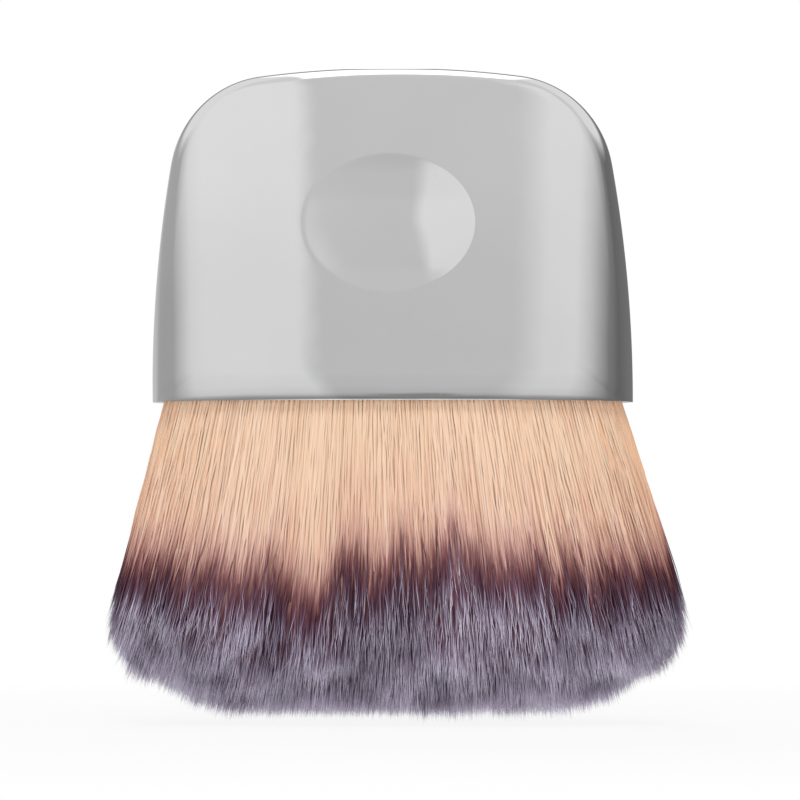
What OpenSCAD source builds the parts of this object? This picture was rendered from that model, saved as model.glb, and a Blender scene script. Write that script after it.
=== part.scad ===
// Makeup brush with a short hollow metal-look handle and a wide flared head of bristles.
// Millimetres. +Z is up and the brush stands on its bristle tips, with the thumb rest towards -Y.
// The origin is the middle of the floor under the tips.

/* [Handle] */
// Width of the handle at its mouth
handle_w = 55; // [52:0.5:58]
// Depth of the handle at its mouth, front to back
handle_d = 24; // [23.4:0.1:27]
// Depth of the handle at its crown
crown_d = 20.8; // [20.4:0.1:23]
// Height of the handle from its mouth to its crown
handle_h = 37.4; // [36.5:0.1:42]
// Wall of the handle shell
wall = 1.1; // [0.9:0.05:1.2]
// Radius of the side edges, seen from the front
side_r = 153; // [140:1:240]
// Radius of the two upper corners, seen from the front
corner_r = 11.9; // [9:0.1:12.5]
// Radius of the crown arch, seen from the front
crown_r = 128; // [90:1:180]
// Rounding between a face and the edge band
edge_r = 1.4; // [0.9:0.1:1.8]
// Height ground off the crown to leave its flat
crown_flat = 0.15; // [0.1:0.05:0.3]
// How full the faces are in plan: 2 is an ellipse and more is squarer
fullness = 2.5; // [2.4:0.05:2.8]

/* [Thumb rest] */
// Width of the thumb dimple
dimple_w = 19.4; // [16:0.2:21]
// Height of the thumb dimple
dimple_h = 15.7; // [13:0.1:17]
// Depth of the thumb dimple
dimple_depth = 1.6; // [1.2:0.1:2.2]
// Height of the dimple's middle above the mouth
dimple_rise = 20; // [19.4:0.1:21]

/* [Bristle head] */
// Length of bristle that shows below the mouth
bristle_h = 36.6; // [32:0.1:42]
// Spread of the bundle to each side for each millimetre of drop
flare = 0.285; // [0.26:0.005:0.3]
// Gap between the bundle and the inside of the mouth
mouth_gap = 0.35; // [0.3:0.05:0.6]
// Height of the rounded end of the head, from its lowest tips to its widest ones
dome_h = 14; // [10:0.1:16]
// How round the end of the head is: 2 is an ellipse and more is squarer
dome_fullness = 2; // [2:0.05:2.6]
// Height pressed flat where the tips stand
tip_flat = 1.3; // [0.8:0.1:1.6]
// Bristle strands across one hank
hank_columns = 7; // [5:1:7]
// Radius of a strand at its root
strand_root_r = 0.5; // [0.4:0.05:0.5]
// Radius of a strand where it is fullest
strand_belly_r = 0.95; // [0.7:0.05:1]
// Radius of a strand at its tip
strand_tip_r = 0.3; // [0.2:0.05:0.4]
// Length over which a strand tapers to its tip
strand_taper = 9; // [6:0.5:11]

/* [Ferrule cup] */
// Height of the cup's rim above the handle's mouth
cup_rise = 14; // [13.4:0.1:14.4]
// Height of the cup
cup_h = 9.9; // [9.2:0.1:10.2]
// Wall of the cup
cup_wall = 0.4; // [0.3:0.05:0.45]
// Height of the resin slice that each hank is set in
slice_h = 2; // [1.5:0.1:2.4]
// Height of the resin poured over the slices
pour_h = 2; // [1.6:0.1:2.4]

/* [Insert frame] */
// Thickness of the insert's plate
plate_t = 1.8; // [1.5:0.1:2.2]
// Height of the skirt that the cup is glued into
skirt_h = 7; // [5:0.5:8]
// Wall of the skirt
skirt_wall = 0.7; // [0.5:0.05:0.75]
// Thickness of the two upright ribs
rib_t = 1.2; // [1:0.1:1.6]
// Distance between the ribs' middles
rib_span = 34.4; // [33:0.2:35]
// Depth of the ribs, front to back
rib_d = 12; // [9:0.5:12.5]
// Diameter of the posts that carry the weight
post_d = 3; // [2.4:0.1:3.6]
// Distance between the posts
post_span = 20; // [17:0.5:21]
// Diameter of the staked heads on the posts
stake_d = 5; // [4.6:0.1:6]
// Height of the staked heads
stake_h = 0.8; // [0.6:0.1:1.2]
// Diameter of the pins that key into the poured resin
key_d = 2.4; // [2:0.1:3]
// Depth of those pins in the resin
key_depth = 1.4; // [1:0.1:1.5]

/* [Balance weight] */
// Gap between the weight and each rib
weight_gap = 1.6; // [1.2:0.1:3]
// Depth of the weight, front to back
weight_d = 11; // [8:0.5:12]
// Room over the weight's ends, up to the inside of the crown
weight_headroom = 3.4; // [2.4:0.1:5]

/* [Fits] */
// Gap between the insert's plate and the inside of the shell
insert_gap = 0.3; // [0.25:0.05:0.4]
// Gap round a post or pin in its hole
hole_gap = 0.1; // [0.05:0.05:0.15]
// Gap between the hanks and the inside of the cup
hank_gap = 0.1; // [0.05:0.05:0.15]
// Thickness of the adhesive between the cup and the skirt
glue_t = 0.15; // [0.1:0.05:0.2]
// Gap from the top of the ribs to the inside of the crown
rib_gap = 0.25; // [0.2:0.05:0.35]

/* [Hidden] */
// Overrun of a cutting block past what it cuts
over = 1;
// How far the curve of the faces would run on past the side edges
face_reach = 0.15;
// Smallest rounding left along the inside of the shell
inner_edge_r = 0.4;
// Share of a face's depth that is edge band where the band is at its narrowest
edge_share = 0.35;
// Share of the bundle's half-width at which the end hanks are cut square
plan_end_share = 0.985;
// Share of the strands' spacing by which every second row is moved to one side in the middle
stagger_share = 0.1;
// Share of the half-width over which that shift fades out
stagger_fade_share = 0.5;

mouth_z = bristle_h;
crown_z = mouth_z + handle_h;
dimple_z = mouth_z + dimple_rise;
rim_z = mouth_z + cup_rise;
cup_top_z = rim_z + cup_h;
cup_ceiling_z = cup_top_z - cup_wall;
slice_top_z = cup_ceiling_z - pour_h;
slice_z = slice_top_z - slice_h;
root_z = slice_z + slice_h / 2;
plate_top_z = cup_top_z + plate_t;
weight_w = rib_span - rib_t - 2 * weight_gap;

face_half_w = handle_w / 2 + face_reach;
bundle_a = handle_w / 2 - wall - mouth_gap;
bundle_b = handle_d / 2 - wall - mouth_gap;
rim_a = bundle_a - flare * cup_rise;
rim_b = bundle_b - flare * cup_rise;
cup_a = rim_a + hank_gap + cup_wall;
cup_b = rim_b + hank_gap + cup_wall;

// Counts along the outline of the handle and across its faces
side_steps = 6;
corner_steps = 7;
crown_steps = 5;
mouth_steps = 14;
dimple_rings = 4;
face_rings = 6;
edge_rings = 3;
oval_steps = 60;
round_fn = 40;

// Rows and columns of hanks, and of strands
HANK_COLUMNS = 5;
HANK_ROWS = ["front", "middle", "back"];
hank_rows = len(HANK_ROWS);
columns = HANK_COLUMNS * hank_columns;
// Strands of one hank from front to back, where the bundle is deepest
hank_depth_count = 4;
// Share of a strand's room that is enough for one more strand in a column
room_share = 0.6;
// Strands are round enough with three sides, and are drawn from ring to ring
strand_sides = 3;
strand_rings = 4;
slice_steps = 6;

HANKS = [for (r = [0:hank_rows - 1], c = [0:HANK_COLUMNS - 1]) [c, r]];
function hank_name(c, r) = str(HANK_ROWS[r], "_hank_", c + 1);

// Outline of the handle, seen from the front

side_c = [handle_w / 2 - side_r, mouth_z];
crown_c = [0, crown_z + crown_flat - crown_r];

// The upper right one of the two points at distance p from a and q from b
function circles_meet(a, p, b, q) =
    let (
        d = norm(b - a),
        along = (d * d + p * p - q * q) / (2 * d),
        off = sqrt(p * p - along * along),
        dir = (b - a) / d
    )
    a + along * dir + off * [-dir[1], dir[0]] * (dir[1] > 0 ? -1 : 1);

corner_c = circles_meet(side_c, side_r - corner_r, crown_c, crown_r - corner_r);

function heading(from, to) = atan2(to[1] - from[1], to[0] - from[0]);
side_end = heading(side_c, corner_c);
corner_end = heading(crown_c, corner_c);

// The right half of the outline as [centre, radius, heading], from the mouth to the crown
HALF_OUTLINE = concat(
    [for (i = [0:side_steps]) [side_c, side_r, side_end * i / side_steps]],
    [for (i = [1:corner_steps]) [corner_c, corner_r, side_end + (corner_end - side_end) * i / corner_steps]],
    [for (i = [1:crown_steps]) [crown_c, crown_r, corner_end + (90 - corner_end) * i / crown_steps]]
);
half_count = len(HALF_OUTLINE);
outline_count = 2 * half_count - 1;
loop_count = outline_count + mouth_steps - 1;

function on_arc(a, inset) = a[0] + (a[1] - inset) * [cos(a[2]), sin(a[2])];

// Point k of the outline, counted from the right of the mouth over the crown to its left
function outline(k, inset) =
    k < half_count
        ? on_arc(HALF_OUTLINE[k], inset)
        : let (p = on_arc(HALF_OUTLINE[outline_count - 1 - k], inset)) [-p[0], p[1]];

// Point k of the closed loop made by the outline and the line of the mouth
function loop_point(k, inset) =
    k < outline_count
        ? outline(k, inset)
        : let (left = outline(outline_count - 1, inset)[0])
          [left * (1 - 2 * (k - outline_count + 1) / mouth_steps), mouth_z];

// Half-width between the side edges at height z, below the corners
function side_half_w(z, inset) = side_c[0] + sqrt(pow(side_r - inset, 2) - pow(z - mouth_z, 2));

// Height of the crown's curve at x
function crown_height(x, inset) =
    let (
        turn = crown_c[0] + (crown_r - inset) * cos(corner_end),
        c = abs(x) < turn ? crown_c : corner_c,
        r = (abs(x) < turn ? crown_r : corner_r) - inset
    )
    c[1] + sqrt(r * r - pow(abs(x) - c[0], 2));

// Faces of the handle

function half_depth(z) = handle_d / 2 - (handle_d - crown_d) / 2 * (z - mouth_z) / handle_h;

// Depth of a face from the middle plane, on the plain curve of the section
function face_depth(x, z, inset) =
    (half_depth(z) - inset)
    * pow(max(0, 1 - pow(abs(x) / (face_half_w - inset), fullness)), 1 / fullness);

// Depth that the thumb dimple takes out of the front
function dimple_at(x, z) =
    dimple_depth * max(0, 1 - pow(2 * x / dimple_w, 2) - pow(2 * (z - dimple_z) / dimple_h, 2));

// Half the depth of the edge band at point k of the outline
function band_half(k, inset, r) =
    let (p = outline(k, inset), full = face_depth(p[0], p[1], inset))
    max(full - r, full * edge_share);

// A point of a face that lies at a distance from the outline no more than r
function band_point(k, inset, r, away, side) =
    let (
        p = outline(k, inset + away),
        full = face_depth(p[0], p[1], inset),
        band = band_half(k, inset, r),
        rise = sqrt(max(0, 1 - pow(1 - away / r, 2)))
    )
    [p[0], side * (band + (full - band) * rise), p[1]];

function face_point(x, z, inset, side) =
    [x, side * (face_depth(x, z, inset) - (side < 0 ? dimple_at(x, z) : 0)), z];

// Where the dimple's rim lies on the way to point k of the loop
function dimple_rim(k, inset) =
    let (
        p = loop_point(k, inset),
        turn = atan2((p[1] - dimple_z) * dimple_w, p[0] * dimple_h)
    )
    [dimple_w / 2 * cos(turn), dimple_z + dimple_h / 2 * sin(turn)];

// The points of one face: its middle, the rings of the dimple, the rings out to the loop,
// and the rounding along the outline
function face_points(inset, r, side) = concat(
    [face_point(0, dimple_z, inset, side)],
    [for (j = [1:dimple_rings], k = [0:loop_count - 1])
        let (
            share = j / dimple_rings,
            rim = dimple_rim(k, inset + r),
            p = [0, dimple_z] * (1 - share) + rim * share
        )
        face_point(p[0], p[1], inset, side)],
    [for (j = [1:face_rings], k = [0:loop_count - 1])
        let (
            share = sin(90 * j / face_rings),
            p = dimple_rim(k, inset + r) * (1 - share) + loop_point(k, inset + r) * share
        )
        face_point(p[0], p[1], inset, side)],
    [for (j = [1:edge_rings], k = [0:outline_count - 1])
        band_point(k, inset, r, r * (1 - sin(90 * j / edge_rings)), side)]
);

ring_rows = dimple_rings + face_rings;
face_count = 1 + ring_rows * loop_count + edge_rings * outline_count;
function ring_at(j, k) = 1 + (j - 1) * loop_count + k % loop_count;
// Row 0 of the edge is the part of the last ring that follows the outline
function edge_at(j, k) =
    j == 0 ? ring_at(ring_rows, k) : 1 + ring_rows * loop_count + (j - 1) * outline_count + k;

// Two triangles for four corners, turned over when flip is true
function quad(a, b, c, d, flip) = flip ? [[a, c, b], [a, d, c]] : [[a, b, c], [a, c, d]];

function face_triangles(base, flip) = concat(
    [for (k = [0:loop_count - 1])
        flip ? [base, base + ring_at(1, k + 1), base + ring_at(1, k)]
             : [base, base + ring_at(1, k), base + ring_at(1, k + 1)]],
    [for (j = [1:ring_rows - 1], k = [0:loop_count - 1])
        each quad(base + ring_at(j, k), base + ring_at(j + 1, k),
            base + ring_at(j + 1, k + 1), base + ring_at(j, k + 1), flip)],
    [for (j = [0:edge_rings - 1], k = [0:outline_count - 2])
        each quad(base + edge_at(j, k), base + edge_at(j + 1, k),
            base + edge_at(j + 1, k + 1), base + edge_at(j, k + 1), flip)]
);

// The band between a front and a back face
function band_triangles(front, back, flip) =
    [for (k = [0:outline_count - 2])
        each quad(front + edge_at(edge_rings, k), back + edge_at(edge_rings, k),
            back + edge_at(edge_rings, k + 1), front + edge_at(edge_rings, k + 1), flip)];

// Points of a face along the mouth, from right to left
MOUTH_ROW = concat(
    [for (j = [0:edge_rings]) edge_at(edge_rings - j, 0)],
    [for (k = [1:mouth_steps - 1]) ring_at(ring_rows, loop_count - k)],
    [for (j = [0:edge_rings]) edge_at(j, outline_count - 1)]
);

// The flat of the mouth between the outer and the inner face
function mouth_triangles(outer, inner, flip) =
    [for (i = [0:len(MOUTH_ROW) - 2])
        each quad(outer + MOUTH_ROW[i], outer + MOUTH_ROW[i + 1],
            inner + MOUTH_ROW[i + 1], inner + MOUTH_ROW[i], flip)];

// The flat of the mouth across the end of the edge band
function mouth_end(front, back, k, inner_front, inner_back, flip) =
    quad(front + edge_at(edge_rings, k), back + edge_at(edge_rings, k),
        inner_back + edge_at(edge_rings, k), inner_front + edge_at(edge_rings, k), flip);

module shell_body() {
    outer_front = 0;
    outer_back = face_count;
    inner_front = 2 * face_count;
    inner_back = 3 * face_count;
    last = outline_count - 1;
    polyhedron(
        points = concat(
            face_points(0, edge_r, -1),
            face_points(0, edge_r, 1),
            face_points(wall, inner_edge_r, -1),
            face_points(wall, inner_edge_r, 1)
        ),
        faces = concat(
            face_triangles(outer_front, true),
            face_triangles(outer_back, false),
            face_triangles(inner_front, false),
            face_triangles(inner_back, true),
            band_triangles(outer_front, outer_back, true),
            band_triangles(inner_front, inner_back, false),
            mouth_triangles(outer_front, inner_front, true),
            mouth_triangles(outer_back, inner_back, false),
            mouth_end(outer_front, outer_back, 0, inner_front, inner_back, false),
            mouth_end(outer_front, outer_back, last, inner_front, inner_back, true)
        )
    );
}

module handle_shell() {
    color("silver")
    difference() {
        shell_body();
        translate([-handle_w / 2, -handle_d / 2, crown_z])
            cube([handle_w, handle_d, crown_flat + over]);
    }
}

// Ovals of the cup, its adhesive and the skirt

function oval_point(a, b, turn) =
    let (c = cos(turn), s = sin(turn))
    [a * sign(c) * pow(abs(c), 2 / fullness), b * sign(s) * pow(abs(s), 2 / fullness)];

module oval(a, b) {
    polygon([for (i = [0:oval_steps - 1]) oval_point(a, b, 360 * i / oval_steps)]);
}

// An oval ring whose inside is grown by from, and its outside by to, from the cup's outside
module cup_ring(from, to, low, high) {
    translate([0, 0, low])
    linear_extrude(high - low)
    difference() {
        oval(cup_a + to, cup_b + to);
        oval(cup_a + from, cup_b + from);
    }
}

module key_pins(d, low, high) {
    for (side = [-1, 1])
        translate([side * post_span / 2, 0, low])
            cylinder(h = high - low, d = d, $fn = round_fn);
}

module bristle_cup() {
    color("lightsteelblue")
    difference() {
        translate([0, 0, rim_z])
            linear_extrude(cup_h)
                oval(cup_a, cup_b);
        translate([0, 0, rim_z - over])
            linear_extrude(cup_h - cup_wall + over)
                oval(cup_a - cup_wall, cup_b - cup_wall);
        key_pins(key_d + 2 * hole_gap, cup_ceiling_z - over, cup_top_z + over);
    }
}

module cup_adhesive() {
    color("khaki")
        cup_ring(0, glue_t, cup_top_z - skirt_h, cup_top_z);
}

module root_resin() {
    color("darkgoldenrod")
    difference() {
        translate([0, 0, slice_top_z])
            linear_extrude(pour_h)
                oval(cup_a - cup_wall, cup_b - cup_wall);
        key_pins(key_d + 2 * hole_gap, cup_ceiling_z - key_depth - hole_gap, cup_ceiling_z + over);
    }
}

// Insert frame: plate, skirt, ribs, posts and key pins

plate_end = side_half_w(plate_top_z, wall) - insert_gap;

// Outline of the plate, clear of the inside of the shell and of the back of the thumb dimple
function plate_edge(turn, side) =
    let (x = -plate_end * cos(turn), room = face_depth(x, plate_top_z, wall) - insert_gap)
    [x, side * (room - (side < 0 ? dimple_at(x, max(dimple_z, cup_top_z)) : 0))];

module plate() {
    translate([0, 0, cup_top_z])
    linear_extrude(plate_t)
    polygon(concat(
        [for (i = [0:oval_steps / 2]) plate_edge(360 * i / oval_steps, -1)],
        [for (i = [0:oval_steps / 2]) plate_edge(180 - 360 * i / oval_steps, 1)]
    ));
}

rib_out = rib_span / 2 + rib_t / 2;
rib_top_z = crown_height(rib_out, wall) - rib_gap;
weight_top_z = crown_height(weight_w / 2, wall) - weight_headroom;

module at_ribs(low, high) {
    for (side = [-1, 1])
        translate([side * rib_span / 2 - rib_t / 2, -rib_d / 2, low])
            cube([rib_t, rib_d, high - low]);
}

module insert_frame() {
    color("dimgray")
    union() {
        plate();
        cup_ring(glue_t, glue_t + skirt_wall, cup_top_z - skirt_h, cup_top_z);
        // The ribs, posts and pins run through the plate, and the posts through their heads
        at_ribs(cup_top_z, rib_top_z);
        key_pins(post_d, cup_top_z, weight_top_z + stake_h);
        key_pins(stake_d, weight_top_z, weight_top_z + stake_h);
        key_pins(key_d, cup_ceiling_z - key_depth, plate_top_z);
    }
}

// Beads of adhesive that fix the ribs to the inside of the crown
module rib_adhesive() {
    color("khaki")
        at_ribs(rib_top_z, rib_top_z + rib_gap / 2);
}

module balance_weight() {
    color("slategray")
    difference() {
        translate([0, 0, plate_top_z])
            linear_extrude(weight_top_z - plate_top_z)
                hull()
                    for (side = [-1, 1])
                        translate([side * (weight_w - weight_d) / 2, 0])
                            circle(d = weight_d, $fn = round_fn);
        key_pins(post_d + 2 * hole_gap, plate_top_z - over, weight_top_z + over);
    }
}

// Hanks of bristle

// Half-width and half-depth of the bundle at height z
function bundle(z) = [bundle_a, bundle_b] + [1, 1] * flare * (mouth_z - min(z, rim_z));

// Share of the half-depth that the bundle fills at share u of its half-width
function fill_share(u) = pow(1 - pow(abs(u), fullness), 1 / fullness);

function column_share(i) = 2 * (i + 0.5) / columns - 1;

// The shift that lets the strands of row j cover the gaps between those behind
function stagger(u, j) =
    (j % 2 == 0 ? 1 : -1) * stagger_share * 2 / columns * max(0, 1 - pow(u / stagger_fade_share, 2));

// Strands from front to back in column i, a whole number for each hank
function rows_in_column(i) =
    hank_rows * max(1, floor(hank_depth_count * fill_share(column_share(i)) + 1 - room_share));

// Height of the tips at share r of the way to the edge of the bundle
function tip_height(r) =
    max(0, dome_h * (1 - pow(max(0, 1 - pow(r, dome_fullness)), 1 / dome_fullness)) - tip_flat);

// A ring of a strand, with one corner turned to the nearer of the front and the back
function strand_ring(u, v, z, r) =
    let (half = bundle(z), facing = v < 0 ? -90 : 90)
    [for (i = [0:strand_sides - 1])
        [u * half[0] + r * cos(facing + 360 * i / strand_sides),
         v * half[1] + r * sin(facing + 360 * i / strand_sides), z]];

function strand_corner(ring, i) = ring * strand_sides + i % strand_sides;

STRAND_FACES = concat(
    [
        [for (i = [strand_sides - 1:-1:0]) strand_corner(0, i)],
        [for (i = [0:strand_sides - 1]) strand_corner(strand_rings - 1, i)]
    ],
    [for (ring = [0:strand_rings - 2], i = [0:strand_sides - 1])
        each quad(strand_corner(ring, i), strand_corner(ring, i + 1),
            strand_corner(ring + 1, i + 1), strand_corner(ring + 1, i), false)]
);

module strand(u, v) {
    r = pow(pow(abs(u), fullness) + pow(abs(v), fullness), 1 / fullness);
    tip_z = tip_height(r);
    polyhedron(
        points = concat(
            strand_ring(u, v, root_z, strand_root_r),
            strand_ring(u, v, rim_z, strand_root_r),
            strand_ring(u, v, tip_z + strand_taper, strand_belly_r),
            strand_ring(u, v, tip_z, strand_tip_r)
        ),
        faces = STRAND_FACES
    );
}

// Resin slice of a hank, as the part of the bundle's plan that the hank takes up
module slice(c, r) {
    from = max(-plan_end_share, 2 * c / HANK_COLUMNS - 1);
    to = min(plan_end_share, 2 * (c + 1) / HANK_COLUMNS - 1);
    near = 2 * r / hank_rows - 1;
    far = 2 * (r + 1) / hank_rows - 1;
    half = bundle(slice_top_z);
    translate([0, 0, slice_z])
    linear_extrude(slice_h)
    polygon(concat(
        [for (i = [0:slice_steps])
            let (u = from + (to - from) * i / slice_steps)
            [u * half[0], near * fill_share(u) * half[1]]],
        [for (i = [0:slice_steps])
            let (u = to + (from - to) * i / slice_steps)
            [u * half[0], far * fill_share(u) * half[1]]]
    ));
}

module hank(c, r) {
    color("rosybrown")
    union() {
        slice(c, r);
        for (i = [c * hank_columns:(c + 1) * hank_columns - 1])
            let (
                u = column_share(i),
                count = rows_in_column(i),
                own = count / hank_rows
            )
            for (j = [r * own:(r + 1) * own - 1])
                strand(u + stagger(u, j), fill_share(u) * (2 * (j + 0.5) / count - 1));
    }
}

handle_shell();
insert_frame();
balance_weight();
rib_adhesive();
bristle_cup();
cup_adhesive();
root_resin();
for (h = HANKS) {
    hank(h[0], h[1]);
}
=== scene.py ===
"""Looks of a short makeup brush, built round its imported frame.

Lengths are in metres, in the frame's own axes: +Z is up and the thumb rest is towards -Y.
The handle's skin and the hanks of bristle are made by Geometry Nodes, from the sizes of the frame.
"""

import math
from types import SimpleNamespace

import bpy
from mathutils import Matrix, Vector


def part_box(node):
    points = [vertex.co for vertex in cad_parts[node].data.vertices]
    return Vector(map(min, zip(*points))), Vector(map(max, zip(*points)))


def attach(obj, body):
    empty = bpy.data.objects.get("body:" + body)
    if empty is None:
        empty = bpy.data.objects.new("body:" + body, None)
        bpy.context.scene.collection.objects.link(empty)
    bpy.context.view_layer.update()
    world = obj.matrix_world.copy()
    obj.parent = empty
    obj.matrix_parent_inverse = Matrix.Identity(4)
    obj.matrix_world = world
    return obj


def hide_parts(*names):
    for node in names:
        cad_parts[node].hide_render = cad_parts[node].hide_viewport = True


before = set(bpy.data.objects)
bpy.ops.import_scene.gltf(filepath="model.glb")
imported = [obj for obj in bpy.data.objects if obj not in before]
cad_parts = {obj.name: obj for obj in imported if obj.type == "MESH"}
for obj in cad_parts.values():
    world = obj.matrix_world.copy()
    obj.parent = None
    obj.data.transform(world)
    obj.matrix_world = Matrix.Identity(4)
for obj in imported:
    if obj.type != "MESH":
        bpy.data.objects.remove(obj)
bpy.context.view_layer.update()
scene = bpy.context.scene

MM = 0.001
RIGHT_ANGLE = math.pi / 2

# Places that the frame gives
shell_low, shell_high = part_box("handle_shell")
cup_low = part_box("bristle_cup")[0]
hank_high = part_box("middle_hank_3")[1]

# Handle
WALL = 1.1 * MM
LIP_RADIUS = 0.4 * MM
LIP_SEGMENTS = 3
LIP_SHARPEST = math.radians(50)
HANDLE = {
    "width": shell_high.x - shell_low.x,
    "mouth_depth": shell_high.y - shell_low.y,
    "crown_depth": 20.8 * MM,
    "mouth_height": shell_low.z,
    "crown_height": shell_high.z,
    "side_radius": 153 * MM,
    "corner_radius": 11.9 * MM,
    "crown_radius": 128 * MM,
    "crown_flat": 0.15 * MM,
    "edge_radius": 1.4 * MM,
    "edge_share": 0.35,
    "fullness": 2.5,
    "face_reach": 0.15 * MM,
    "dimple_width": 19.4 * MM,
    "dimple_height": 15.7 * MM,
    "dimple_depth": 1.6 * MM,
    "dimple_rise": 20 * MM,
    "dimple_softness": 0.035 * MM,
    "roll_height": 6 * MM,
    "roll_depth": 0.7 * MM,
    "weld": 0.001 * MM,
}

# Steps along the outline of the handle, and rings from the middle of a face to its edge
SIDE_STEPS = 26
CORNER_STEPS = 22
CROWN_STEPS = 26
HALF_STEPS = SIDE_STEPS + CORNER_STEPS + CROWN_STEPS
OUTLINE_STEPS = 2 * HALF_STEPS
MOUTH_STEPS = 64
COLUMNS = OUTLINE_STEPS + MOUTH_STEPS
DIMPLE_RINGS = 14
FACE_RINGS = 34
EDGE_RINGS = 6
EDGE_START = DIMPLE_RINGS + FACE_RINGS
RINGS = EDGE_START + EDGE_RINGS
RING_CROWDING = 1.5

# Bristles
HANK_ROWS = ["front", "middle", "back"]
HANK_COLUMNS = 5
STRANDS = 36000
STRAND_SIDES = 3
INNER_SEGMENTS = 6
OUTER_SEGMENTS = 12
SLICE_SEGMENTS = 6
SLICE_HEIGHT = 2 * MM
LANES = 48
DYE_MAP = "OFBake"
DYE_LENGTH = 60 * MM
MOUTH_GAP = 0.35 * MM
LIP_ROLL = 0.37 * MM
END_THINNING = 1 / 1.4
PLAN_END_SHARE = 0.985
FULLNESS = 2.5
BUNDLE = {
    "half_width": (shell_high.x - shell_low.x) / 2 - WALL - MOUTH_GAP,
    "half_depth": (shell_high.y - shell_low.y) / 2 - WALL - MOUTH_GAP - LIP_ROLL,
    "fullness": FULLNESS,
    "flare": 0.285,
    "lean": 0.034,
    "lean_drop": 38 * MM,
    "mouth_height": shell_low.z,
    "rim_height": cup_low.z,
    "slice_low": hank_high.z - SLICE_HEIGHT,
    "slice_high": hank_high.z,
    "dome_height": 14.1 * MM,
    "dome_fullness": 2.0,
    "tip_flat": 2.3 * MM,
    "strand_radius": 0.085 * MM,
    "inner_plumpness": 1.0,
    "plump_from": 6 * MM,
    "patch_size": 7 * MM,
    "strand_taper": 6 * MM,
    "length_spread": 0.8 * MM,
    "lock_length_spread": 1.5 * MM,
    "lock_drop": 3.6 * MM,
    "skirt_ripple": 1.4 * MM,
    "tuft_size": 4 * MM,
    "tuft_depth": 2.6 * MM,
    "tuft_fade": 4 * MM,
    "lock_size": 3.2 * MM,
    "clump_size": 0.7 * MM,
    "clump_pull": 0.75,
    "clump_reach": 8 * MM,
    "stray": 0.35 * MM,
    "wild": 0.7 * MM,
    "tip_curl": 1.2,
    "curl_reach": 5 * MM,
    "wave": 0.21 * MM,
    "wave_length": 2.8 * MM,
    "dye_jitter": 0.5 * MM,
    "lock_dye_jitter": 1.2 * MM,
}

# Strides that spread the roots evenly, and what a strand then draws by chance, in this order
EVEN_STRIDES = (0.754878, 0.569840)
CHANCES = ["length", "stray_x", "stray_y", "wild", "thickness", "shade", "dye", "own"]

# How far the draws go, and how a strand's points crowd toward its tip
WILD_SHARE = 0.04
THICKNESS_SPREAD = 0.2
TURN_SPREAD = 0.25
STRAND_CROWDING = 1.1
STRAND_CROWDING_SPREAD = 0.6

# The waves of the strands, and how they taper
WAVE_STREAMS = 700
WAVE_SWING = 4
WAVE_START_SHARE = 1 / 6
TAPER_POWER = 0.7

# Layers of the bundle, from 0 in its middle to 1 at its surface
SURFACE_LAYER = 0.94
OUTERMOST_LAYER = 0.98
SURFACE_PLUMPNESS = 0.2

# Shares of the clump, the strand itself and the patch in how pale a strand is
SHADE_SHARES = (0.3, 0.3, 0.4)
PATCH_CONTRAST = 3

# Share of the lock, not the clump, in how short a strand is, how much of that shifts its dye, and
# the least share of the distance from its tip at which the dye is read
LOCK_LENGTH_SHARE = 0.3
LENGTH_DYE_SHARE = 0.5
LEAST_DYE_SHARE = 0.2

# The map of the dye: where a tip starts, how wide a strand is in its lane, and the resin's place
DYE_START = 0.002
LANE_FILL_SHARE = 0.3
SLICE_ALONG = 0.985
SLICE_ALONG_SPREAD = 0.01

# Where the skirt hangs low, or rides high: place across, half-width and share of the drop
SKIRT_SHARES = [(-0.3, 0.15, 1), (0.15, 0.5, -0.35), (1, 0.2, 0.4), (-1, 0.2, 0.4)]
RIPPLE_SCALE = 6

# The two ends of the head are calmer than its middle: where that starts and is full, and by how much
STRAY_CALM = (0.8, 1, 0.6)
TUFT_CALM = (0.7, 0.95, 0.8)

# Finishes: the darkest and the lightest colour of each
TONES = {
    "mirror_chrome": ((0.66, 0.66, 0.665), (0.79, 0.79, 0.795)),
    "moulded_plastic": ((0.035, 0.035, 0.037), (0.055, 0.055, 0.058)),
    "sawn_steel": ((0.36, 0.36, 0.37), (0.50, 0.50, 0.51)),
    "drawn_aluminium": ((0.70, 0.71, 0.72), (0.82, 0.83, 0.84)),
    "amber_resin": ((0.42, 0.24, 0.06), (0.58, 0.36, 0.11)),
    "clear_glue": ((0.66, 0.58, 0.38), (0.76, 0.69, 0.50)),
}

# Roughness of each finish, and what its noise or its tone adds at most
ROUGHNESS = {
    "mirror_chrome": (0.03, 0.05),
    "dyed_bristle": (0.75, -0.1),
    "moulded_plastic": (0.45, 0.15),
    "sawn_steel": (0.32, 0.2),
    "drawn_aluminium": (0.22, 0.2),
    "amber_resin": (0.15, 0.2),
    "clear_glue": (0.15, 0.2),
}

# Heights between which painted light makes the chrome's colour lighter toward the top, and its pits
CHROME_PAINTED_LIGHT_HEIGHTS = (40 * MM, 72 * MM)
PIT_EDGE = (0.04, 0.12)
PIT_ROUGHNESS = 0.2

# Fibres: the part of the map's width from the darkest to the palest, and how little they shine
FIBRE_TONES = (0.15, 0.85)
FIBRE_SHINE = 0.15

# How many features of each kind there are in a metre
HAZE_SCALE = 90
PEEL_SCALE = 70
PIT_SCALE = 900
GRAIN_SCALE = 4000
TONE_SCALE = 120
LINE_SCALE = 3500
STAIN_SCALE = 150
CLOUD_SCALE = 300

# How deep the relief of each kind is, and how drawn lines stretch
PEEL_DEPTH = 0.07 * MM
GRAIN_DEPTH = 0.01 * MM
LINE_DEPTH = 0.006 * MM
CLOUD_DEPTH = 0.03 * MM
LINE_STRETCH = 0.05

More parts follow.
